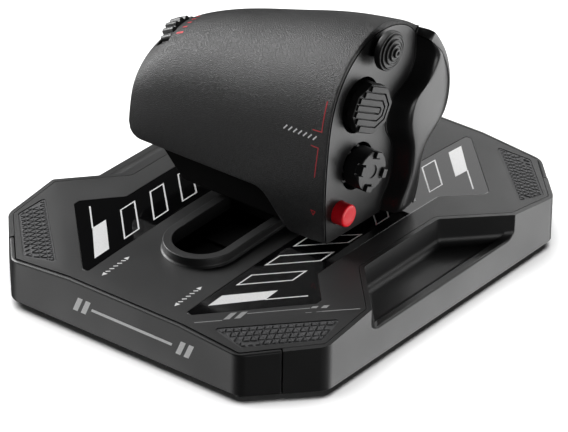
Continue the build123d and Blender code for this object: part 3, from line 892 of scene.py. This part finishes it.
def finger_grid():
    xs = np.concatenate([np.linspace(-72, -60, 9), np.linspace(-58, 58, 88)])
    grid = []
    for x in xs:
        fine = section(rear_curve, x)[::-1]
        rising = np.maximum.accumulate(fine[:, 1])
        start = np.interp(rear_low(x), rising[:120], np.linspace(0, 119 / 239, 120))
        row = finger_row(fine, start)
        points = []
        for k, (y, z) in enumerate(row):
            share = 1 - (1 - k / 63) ** 1.6
            window = np.clip((share - 0.25) / 0.2, 0, 1) * np.clip((0.85 - share) / 0.2, 0, 1)
            window *= np.clip((x + 66) / 12, 0, 1) * np.clip((40 - x) / 10, 0, 1)
            dip = 1.3 * window * (0.5 + 0.5 * cos(2 * pi * (x - 28) / 21))
            gone = hypot(y - row[-1][0], z - row[-1][1])
            end = min(58.0, PANEL_X - 0.5 + rim_lift(gone))
            reach = x if x < 40 else 40 + (x - 40) * (end - 40) / 18
            flare = 1.1 * float(np.clip((reach - 49) / 6, 0, 1) * np.clip(1 - gone / 16, 0, 1))
            points.append((reach, y - dip + flare * 0.6, z + flare))
        grid.append(points)
    return grid


def make_finger_shell():
    grid = finger_grid()
    made = piece("finger_shell_skin", shell_from(grid, rim_thickness(grid, 46.0, 50.0), 0.4), "throttle",
                 "satin_shell", "finger_shell")
    drills = []
    hole = FINGER_RADIUS + HOLE_CLEARANCE
    for x, z in FINGER_BUTTONS.values():
        place = Matrix.Translation((x, DRILL_Y, z)) @ Matrix.Rotation(radians(90), 4, "Z")
        profile = [(-DRILL_HALF, 0.001), (-DRILL_HALF, hole), (DRILL_HALF, hole), (DRILL_HALF, 0.001)]
        drills.append(lathe(profile, place, 45))
    cut(made, joined("drill", drills))
    paint(made, "satin_shell")


def make_end_cap():
    """Slightly domed plate that closes the little-finger end."""
    height, depth = STATION_RATIOS[0]
    placed = [(GRIP_Y + depth * (y - GRIP_Y), GRIP_Z + height * (z - GRIP_Z) if z > GRIP_Z else z)
              for y, z in OUTLINE]
    loop = inset_points(placed, SHELL + 1.1)[1:-2]
    smooth = np.array([p.to_tuple() for p in rounded_loop(loop, 8.0)])
    centre = smooth.mean(0)
    rings = [(-68.5, 1.0), (-70.2, 1.0), (-70.7, 0.985), (-70.95, 0.95), (-71.0, 0.5)]
    verts = []
    for x, size in rings:
        verts += [(x, *(centre + size * (p - centre))) for p in smooth]
    count = len(smooth)
    faces = tube_faces(len(rings), count)
    made = piece("end_cap_plate", mesh_from("end_cap_plate", verts, faces), "throttle", "matte_shell",
                 "end_cap")
    cut(made, dial_opening())
    paint(made, "matte_shell")


# ---- thumb side ----------------------------------------------------------------
PANEL_HOLES = [(STICK_AT, 8.2), (OCTAGON_AT, 14.4), (CASTLE_AT, 12.4), (RED_AT, 6.1)]
FLANK = [(0.0, 0.0), (0.02, 0.3), (0.05, 0.48), (0.08, 0.42), (0.12, 0.0), (0.18, -1.1), (0.26, -1.6),
         (0.33, -1.2), (0.4, 0.0), (0.48, 2.2), (0.56, 4.9), (0.64, 7.0), (0.72, 8.3), (0.8, 9.0),
         (0.9, 9.55), (1.0, 10.0)]
FACE = [(0.15, 10.15, 10.2), (0.3, 10.2, 10.2), (0.5, 10.1, 9.9), (0.66, 9.9, 9.4), (0.8, 9.4, 8.6),
        (0.9, 8.6, 7.6), (0.96, 7.5, 6.7), (1.0, 5.6, 5.6)]      # share, lift high up, lift low down
FLANK_WIDTH = 6.5           # of the column's flank along the upper rim
FACE_END = 9.0


def rim_lift(distance):
    """Height of the thumb side over the panel, along the upper rim from the hood's seam."""
    shares = [share for share, _ in FLANK]
    return float(np.interp(distance / FLANK_WIDTH, shares, [lift for _, lift in FLANK])) * 0.8


def rim_points(points, distances):
    """Points at distances along a fine polyline."""
    length = np.concatenate([[0], np.cumsum(np.linalg.norm(np.diff(points, axis=0), axis=1))])
    return np.stack([np.interp(distances, length, points[:, k]) for k in range(2)], axis=1)


def make_thumb_side():
    count = 96
    rim = PANEL_REAR
    front = along(PANEL_FRONT, count)
    foot_end, top_end = rim_points(rim, [0.0, FLANK_WIDTH])
    foot = along(spline(COLUMN_FOOT + [tuple(foot_end)])(np.linspace(0, 1, 400)), count)
    top = along(spline(COLUMN_TOP + [tuple(top_end)])(np.linspace(0, 1, 400)), count)
    rear_top = rim_points(rim, [FACE_END])[0]
    start = int(np.argmin(np.linalg.norm(rim - rear_top, axis=1)))
    rear = along(rim[start:][::-1], count)
    k = np.arange(count)
    near_top = np.clip((k - count * 0.72) / (count * 0.28), 0, 1)
    near_top = near_top ** 2 * (3 - 2 * near_top)
    fall = 1 - 0.2 * np.clip((k - count + 9) / 8, 0, 1) ** 2 - 0.12 * np.clip((3 - k) / 3, 0, 1) ** 2
    low_down = np.clip((75 - top[:, 1]) / 20, 0, 1)
    verts = []
    faces = []

    def row_of(points, xs):
        begin = len(verts)
        verts.extend((x, q[0], q[1]) for q, x in zip(points, xs))
        return list(range(begin, begin + count))

    def bent(points, distance):
        """The row with its upper end pulled onto the rim."""
        end = rim_points(rim, [distance])[0]
        return points + (end - points[-1]) * near_top[:, None]

    rows = [row_of(foot, [PANEL_X] * count)]
    for share, lift in FLANK[1:]:
        points = bent(foot * (1 - share) + top * share, share * FLANK_WIDTH)
        rows.append(row_of(points, PANEL_X + lift * fall))
    for share, high, low in FACE:
        points = bent(top + (rear - top) * share, FLANK_WIDTH + share * (FACE_END - FLANK_WIDTH))
        rows.append(row_of(points, PANEL_X + (high + (low - high) * low_down) * fall))
    back = row_of(rear, [PANEL_X - 2.5] * count)
    rows.append(back)
    for low, high in zip(rows, rows[1:]):
        faces += [(low[m], high[m], high[m + 1], low[m + 1]) for m in range(count - 1)]
    edge = row_of(front, [PANEL_X] * count)
    edge_back = row_of(front, [PANEL_X - 2.5] * count)
    faces.append(tuple(edge + rows[0][::-1]))
    faces += [(edge[m], edge[m + 1], edge_back[m + 1], edge_back[m]) for m in range(count - 1)]
    low_ring = [edge_back[0], edge[0]] + [row[0] for row in rows]
    high_ring = [edge_back[-1], edge[-1]] + [row[-1] for row in rows]
    faces += [tuple(low_ring), tuple(high_ring[::-1]), tuple(edge_back + back[::-1])]
    mesh = mesh_from("thumb_side_panel", verts, faces)
    made = piece("thumb_side_panel", mesh, "throttle", "satin_shell", "thumb_side_shell")
    for (y, z), radius in PANEL_HOLES:
        ends = [(PANEL_X - 6, 0.001), (PANEL_X - 6, radius), (PANEL_X + 12, radius), (PANEL_X + 12, 0.001)]
        cut(made, mesh_from("drill", *lathe(ends, Matrix.Translation((0, y, z)), 96)))
    soften_holes(made)
    paint(made, "satin_shell")
    normals = made.modifiers.new("normals", "WEIGHTED_NORMAL")
    normals.keep_sharp = True


def soften_holes(made):
    """Rounds the rims of the panel's holes and its outer edge."""
    work = bmesh.new()
    work.from_mesh(made.data)
    rims = []
    for e in work.edges:
        if len(e.link_faces) != 2 or e.calc_face_angle() < radians(60):
            continue
        mid = (e.verts[0].co + e.verts[1].co) / 2 / MM
        if abs(mid.x - PANEL_X) < 0.05:
            rims.append(e)
    bmesh.ops.bevel(work, geom=rims, offset=0.7 * MM, segments=3, profile=0.5, affect="EDGES",
                    clamp_overlap=True)
    for face in work.faces:
        face.smooth = True
    for e in work.edges:
        e.smooth = len(e.link_faces) != 2 or e.calc_face_angle() < radians(50)
    work.to_mesh(made.data)
    work.free()


def turned(name, profile, place, body, material, node, turns=72):
    """A piece that is one turned profile."""
    return piece(name, mesh_from(name, *lathe(profile, place, turns)), body, material, node)


# ---- controls --------------------------------------------------------------------
def facing(at, turn=0.0, lean=0.0, level=57.0):
    """Frame of a thumb control: its first axis points out of the panel, leaning about that level of X."""
    back = Matrix.Translation((-level, 0, 0))
    lift = Matrix.Translation((level, *at))
    return lift @ Matrix.Rotation(radians(-lean), 4, "Z") @ back @ Matrix.Rotation(radians(turn), 4, "X")


def make_mini_stick():
    """Thumb stick: a necked stem and a cap of rising ringed steps with a dimple."""
    profile = [(41.5, 0.02), (41.5, 1.6), (48.2, 1.6), (48.6, 5.0), (49.6, 5.5), (53.2, 5.5), (54.3, 6.2),
               (54.7, 9.4), (55.2, 9.95), (56.0, 10.1), (57.9, 10.1), (58.4, 9.95), (58.6, 9.6), (58.6, 9.1),
               (58.3, 8.9), (58.3, 8.7)]
    for k in range(4):
        level = 58.6 + 0.9 * k
        outer = 8.6 - 2.1 * k
        lift = level + 0.9
        profile += [(level + 0.3, outer), (lift - 0.15, outer - 0.05), (lift, outer - 0.25)]
        if k < 3:
            profile += [(lift, outer - 0.75), (lift - 0.3, outer - 1.0), (lift - 0.3, outer - 2.0)]
    profile += [(62.1, 1.0), (61.9, 0.8), (61.5, 0.6), (61.5, 0.02)]
    made = turned("mini_stick_disc", profile, facing(STICK_AT), "mini_stick", "control_cap", "mini_stick_cap")
    soften(made, 0.08, 1, 40)


def outline_prism(points, low, high, place, bevel=0.0):
    """(verts, faces) of a flat outline (Y, Z offsets) as a block from low to high, its front edge eased."""
    rings = [(low, points), (high, points)]
    if bevel:
        rings[1:] = [(high - bevel, points), (high, shrunk_loop(points, bevel))]
    verts = [place @ Vector((x, p[0], p[1])) for x, ring in rings for p in ring]
    return verts, tube_faces(len(rings), len(points))


def octagon_points(radius, turn=22.5):
    return [(radius * cos(radians(turn + 45 * k)), radius * sin(radians(turn + 45 * k))) for k in range(8)]


def make_octagon_hat():
    """Eight-sided hat: nested U-shaped ribs, open to the left, on a round skirt."""
    place = facing(OCTAGON_AT, HAT_TILT, 6.0)
    stem = [(41, 0.02), (41, 2.4), (49.3, 2.4), (49.3, 12.2), (49.6, 12.4), (54.2, 12.4), (54.2, 0.02)]
    parts = [lathe(stem, place), outline_prism(octagon_points(13.4), 53.8, 58.0, place, 0.35)]
    pitch = 3.4
    gap = 0.28
    low, high = 57.8, 59.2
    right = 12.08

    def bullet(half, reach):
        """Upper right and lower right of a U's outline: straight, cut corner, straight."""
        chamfer = half * 0.57
        upper = [(reach - chamfer, half), (reach, half - chamfer)]
        return upper + [(y, -z) for y, z in upper[::-1]]

    left = [-12.0, -11.4, -9.2, -5.8]
    centre = [(left[0], pitch / 2 - gap), (right - 7.2, pitch / 2 - gap), (right - 7.2, -pitch / 2 + gap),
              (left[0], -pitch / 2 + gap)]
    parts.append(outline_prism(centre, low, high, place, 0.25))
    for k in (1, 2, 3):
        inner = (k - 0.5) * pitch + gap
        outer = (k + 0.5) * pitch - gap
        reach_in = right - 6.35 + 2.4 * (k - 1)
        reach_out = reach_in + 1.55
        around = bullet(outer, reach_out)
        within = bullet(inner, reach_in)
        path = [(left[k], outer), *around, (left[k], -outer)]
        path += [(left[k], -inner), *within[::-1], (left[k], inner)]
        parts.append(outline_prism(path, low, high, place))
    mesh = joined("octagon_hat_ribs", parts, smooth=False)
    made = piece("octagon_hat_ribs", mesh, "octagon_hat", "control_cap", "octagon_hat_cap")
    soften(made, 0.16, 2, 35)


def make_castle_hat():
    """Round hat with four square turrets in notches, and a shallow round dish in the middle."""
    place = Matrix.Translation((1.2, 0, 0)) @ facing(CASTLE_AT, HAT_TILT, 3.0)
    profile = [(41, 0.02), (41, 2.4), (49.3, 2.4), (49.3, 10.1), (49.6, 10.4), (58.6, 10.4), (59.0, 10.0),
               (59.0, 3.5), (58.4, 3.4), (58.4, 0.02)]
    made = turned("castle_hat_turrets", profile, place, "castle_hat", "control_cap", "castle_hat_cap")
    for k in range(4):
        turn = place @ Matrix.Rotation(pi / 2 * k, 4, "X")
        cut(made, block((6, 6, 5.4), turn @ Matrix.Translation((59.4, 0, 9.1))))
    parts = []
    for k in range(4):
        turn = place @ Matrix.Rotation(pi / 2 * k, 4, "X")
        corners = [(-2.1, 7.3), (2.1, 7.3), (2.1, 10.1), (-2.1, 10.1)]
        parts.append(outline_prism(corners, 56, 60.5, turn))
    turrets = joined("turrets", parts, False)
    work = bmesh.new()
    work.from_mesh(made.data)
    work.from_mesh(turrets)
    work.to_mesh(made.data)
    work.free()
    paint(made, "control_cap")
    soften(made, 0.22, 2, 35)


def make_red_button():
    profile = [(43.6, 0.02), (43.6, 2), (45.6, 2), (45.6, 7.0), (47.0, 7.0), (47.2, 5.8), (56.5, 5.8),
               (57.0, 5.68), (57.35, 5.35), (57.5, 4.8), (57.42, 3.4), (57.34, 1.6), (57.32, 0.02)]
    made = turned("red_button_cap", profile, facing(RED_AT), "red_button", "red_cap", "red_button", 96)
    soften(made, 0.05, 1, 60)


def make_finger_buttons():
    for node, (x, z) in FINGER_BUTTONS.items():
        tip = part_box(node)[1].y / MM
        profile = [(-14.2, 0.02), (-14.2, 2), (-11.3, 2), (-11.2, 8.1), (-9.6, 8.1),
                   (-9.4, FINGER_RADIUS), (-0.9, FINGER_RADIUS), (-0.4, 6.3), (-0.1, 5.9),
                   (0.0, 5.2), (-0.25, 3.0), (-0.35, 0.02)]
        place = Matrix.Translation((x, tip, z)) @ Matrix.Rotation(radians(90), 4, "Z")
        made = turned(f"{node}_cap", profile, place, node, "control_cap", node)
        soften(made, 0.05, 1, 60)


def make_dial():
    """Toothed wheel with rounded ribs on a turned hub."""
    place = dial_matrix() @ Matrix.Rotation(radians(-90), 4, "Y")
    half = DIAL_WIDTH / 2
    teeth = []
    levels = [(-half, 0.9), (-half + 0.5, 1.0), (half - 0.5, 1.0), (half, 0.9)]
    steps = DIAL_TEETH * 8
    for level, size in levels:
        for k in range(steps):
            wave = 0.5 + 0.5 * cos(2 * pi * k / 8)
            radius = (DIAL_RADIUS - 1.5 + 1.5 * min(1.0, wave * 1.6)) * (1 - (1 - size) * 0.35)
            angle = 2 * pi * k / steps
            teeth.append(place @ Vector((level, radius * cos(angle), radius * sin(angle))))
    faces = tube_faces(len(levels), steps)
    hub = lathe([(-4.0, 0.02), (-4.0, 2.0), (8.0, 2.0), (8.0, 0.02)], place, 32)
    mesh = joined("dial_wheel_ribs", [(teeth, faces), hub])
    made = piece("dial_wheel_ribs", mesh, "dial", "control_cap", "dial_wheel")
    soften(made, 0.12, 1, 50)


# ---- marks on the hood --------------------------------------------------------
def front_face(x, z):
    """A point of the hood's outer face at (x, z), on its front."""
    fine = section(hood_curve, x)
    k = int(np.argmax(fine[:, 1]))
    return Vector((x, float(np.interp(z, fine[:k + 1, 1], fine[:k + 1, 0])), z))


def crown_face(x, y):
    """A point of the hood's outer face at (x, y), near its top."""
    fine = section(hood_curve, x)
    k = int(np.argmax(fine[:, 1]))
    return Vector((x, y, float(np.interp(y, fine[60:k + 60, 0], fine[60:k + 60, 1]))))


def outward(face, a, b):
    """The direction out of a face at one of its points."""
    along_a = face(a + 0.5, b) - face(a - 0.5, b)
    along_b = face(a, b + 0.5) - face(a, b - 0.5)
    return along_a.cross(along_b).normalized()


def hood_line(points, width, closed=False, face=front_face):
    """(verts, faces) of each run of a line drawn on one of the hood's faces."""
    pairs = list(zip(points, points[1:] + points[:1])) if closed else list(zip(points, points[1:]))
    parts = []
    for a, b in pairs:
        count = max(2, int(hypot(b[0] - a[0], b[1] - a[1]) / 1.5) + 1)
        spots = [[one + (two - one) * k / count for one, two in zip(a, b)] for k in range(count + 1)]
        fine = [(face(*spot), outward(face, *spot)) for spot in spots]
        verts = []
        for k, (p, n) in enumerate(fine):
            step = (fine[min(k + 1, count)][0] - fine[max(k - 1, 0)][0]).normalized()
            side = n.cross(step).normalized() * width / 2
            reach = step * (-width / 2 if k == 0 else width / 2 if k == count else 0)
            for q in (p + side, p - side):
                verts.append(q + reach + n * 0.06)
        faces = [(2 * k, 2 * k + 1, 2 * k + 3, 2 * k + 2) for k in range(count)]
        parts.append((verts, faces))
    return parts


def make_hood_marks():
    parts = hood_line([(46.6, 114), (46.5, 99.2), (41.3, 98.8)], 0.5)
    parts += hood_line([(41.2, 90.6), (45.4, 90.5), (44.5, 74.9)], 0.5)
    parts += hood_line([(42.9, 56.4), (45.5, 56.2), (44.2, 53.9)], 0.35, closed=True)
    for k, y in enumerate((-11.6, -7.6, -4.0, -0.6, 2.6)):
        length = 1.5 if k == 0 else 0.9
        parts += hood_line([(-56.4 - length, y), (-56.4 + length, y)], 1.3 if k == 0 else 0.9,
                           face=crown_face)
    flat_marks("hood_red_marks", parts, "throttle", "red_print")
    parts = []
    for k in range(7):
        x = 24 + 3.0 * k
        parts += hood_line([(x, 94.0), (x + 1.6, 95.9)], 0.7)
    flat_marks("hood_pale_marks", parts, "throttle", "pale_print")


# ------------------------------------------------------------------------------
# Everything else keeps its CAD shape, with softened edges where it can be seen
# ------------------------------------------------------------------------------
# The parts under the hood and in the slot take shadow_shell, a near-black painted shade
POLISHED = {"lower_casing": (0.8, "shadow_shell"), "stem_column": (0.8, "shadow_shell"),
            "upper_dust_shutter": (0.2, "shadow_shell"), "lower_dust_shutter": (0.2, "shadow_shell"),
            "dial_bracket": (0.2, "inner_moulding"), "usb_socket": (0.3, "socket_shell")}


def make_the_rest():
    for node, (width, material) in POLISHED.items():
        polish(node, width, material)
    slots = {row["node"]: row["material_slot"] for row in frame["record"]["subparts"]}
    for node, made in frame["nodes"].items():
        paint(made, slots[node])
        made.data.shade_smooth()
        if not made.hide_render:
            made.modifiers.new("normals", "WEIGHTED_NORMAL")


# ------------------------------------------------------------------------------
# Studio
# ------------------------------------------------------------------------------
LIGHTS = (                  # name, direction, distance, size and radiance
    ("key", (-0.88, -0.12, 0.48), 1.7, (0.6, 0.6), 17.5),
    ("left_side", (-0.95, -0.2, 0.25), 1.7, (0.9, 0.9), 10.5),
    ("top_left", (-0.8, 0.15, 0.8), 1.9, (1.0, 1.0), 5.0),
    ("back_high", (0.0, 1.9, 1.49), 2.41, (2.4, 0.4), 6.8),
    ("back_left", (-0.75, 1.9, 0.59), 2.13, (1.02, 1.25), 1.0),
    ("front_low", (-0.53, -0.68, -0.50), 1.6, (1.0, 1.0), 2.1),
    ("right_low", (0.53, 0.68, -0.50), 1.6, (1.2, 1.2), 2.9),
    ("right_back", (0.70, 0.70, -0.08), 1.6, (1.2, 1.0), 2.5),
    ("right_front", (0.95, -0.3, 0.1), 1.7, (0.8, 0.8), 3.8),
)
LIT_CENTRE = Vector((0, 0, 0.06))       # metres, as are the camera's place and the floor
CAMERA_AT = Vector((1.1212, -1.4535, 1.0681))
CAMERA_AIM = Vector((-0.0054, 0.0085, 0.0172))
CAMERA_UP = Vector((-0.31903, 0.38900, 0.86423))
LENS = 268.7                # in millimetres, on a sensor 36 mm wide
FLOOR_HALF = 6.0


def softbox(name, direction, distance, size, radiance):
    """An area light of that radiance, at that distance from the object along a direction, facing it."""
    data = bpy.data.lights.new(name, "AREA")
    data.shape = "RECTANGLE"
    data.size, data.size_y = size
    data.energy = radiance * pi * size[0] * size[1]
    made = bpy.data.objects.new(name, data)
    bpy.context.scene.collection.objects.link(made)
    made.location = LIT_CENTRE + Vector(direction).normalized() * distance
    made.rotation_mode = "QUATERNION"
    made.rotation_quaternion = (LIT_CENTRE - made.location).to_track_quat("-Z", "Y")
    return made


def unlit(made):
    """Only the camera sees this piece of the set: it neither lights nor shades the object."""
    made.visible_diffuse = False
    made.visible_glossy = False
    made.visible_transmission = False
    made.visible_shadow = False


def keep_off(lights, floor):
    """The lights of the object leave the floor alone, so that it takes only its own soft light."""
    group = bpy.data.collections.new("floor_only")
    group.objects.link(floor)
    group.collection_objects[0].light_linking.link_state = "EXCLUDE"
    for light in lights:
        light.light_linking.receiver_collection = group


def make_studio():
    scene = bpy.context.scene
    scene.view_settings.view_transform = "Standard"
    world = bpy.data.worlds.new("studio")
    world.use_nodes = True
    world.node_tree.nodes["Background"].inputs["Color"].default_value = (1, 1, 1, 1)
    world.node_tree.nodes["Background"].inputs["Strength"].default_value = 0.02
    scene.world = world

    floor_mesh = bpy.data.meshes.new("floor")
    corners = [(x * FLOOR_HALF, y * FLOOR_HALF, 0) for x, y in ((-1, -1), (1, -1), (1, 1), (-1, 1))]
    floor_mesh.from_pydata(corners, [], [(0, 1, 2, 3)])
    floor = bpy.data.objects.new("floor", floor_mesh)
    scene.collection.objects.link(floor)
    made = Nodes("floor", 0.9, 0.0)
    made.shader.inputs["Base Color"].default_value = (0.92, 0.92, 0.92, 1)
    floor.data.materials.append(made.material)
    unlit(floor)

    keep_off([softbox(*light) for light in LIGHTS], floor)
    floor_light = softbox("floor_light", (-0.15, 0.0, 1.0), 2.0, (3.0, 3.0), 4.6)
    group = bpy.data.collections.new("floor_lit")
    group.objects.link(floor)
    floor_light.light_linking.receiver_collection = group

    camera_data = bpy.data.cameras.new("camera")
    camera_data.lens = LENS
    camera_data.sensor_width = 36.0
    camera_data.clip_end = 50.0
    camera = bpy.data.objects.new("camera", camera_data)
    scene.collection.objects.link(camera)
    back = (CAMERA_AT - CAMERA_AIM).normalized()
    right = CAMERA_UP.cross(back).normalized()
    turn = Matrix((right, back.cross(right), back)).transposed().to_4x4()
    camera.matrix_world = Matrix.Translation(CAMERA_AT) @ turn
    scene.camera = camera


make_base()
make_pads()
make_prints()
make_hood()
make_finger_shell()
make_end_cap()
make_thumb_side()
make_mini_stick()
make_octagon_hat()
make_castle_hat()
make_red_button()
make_finger_buttons()
make_dial()
make_hood_marks()
make_the_rest()
make_studio()
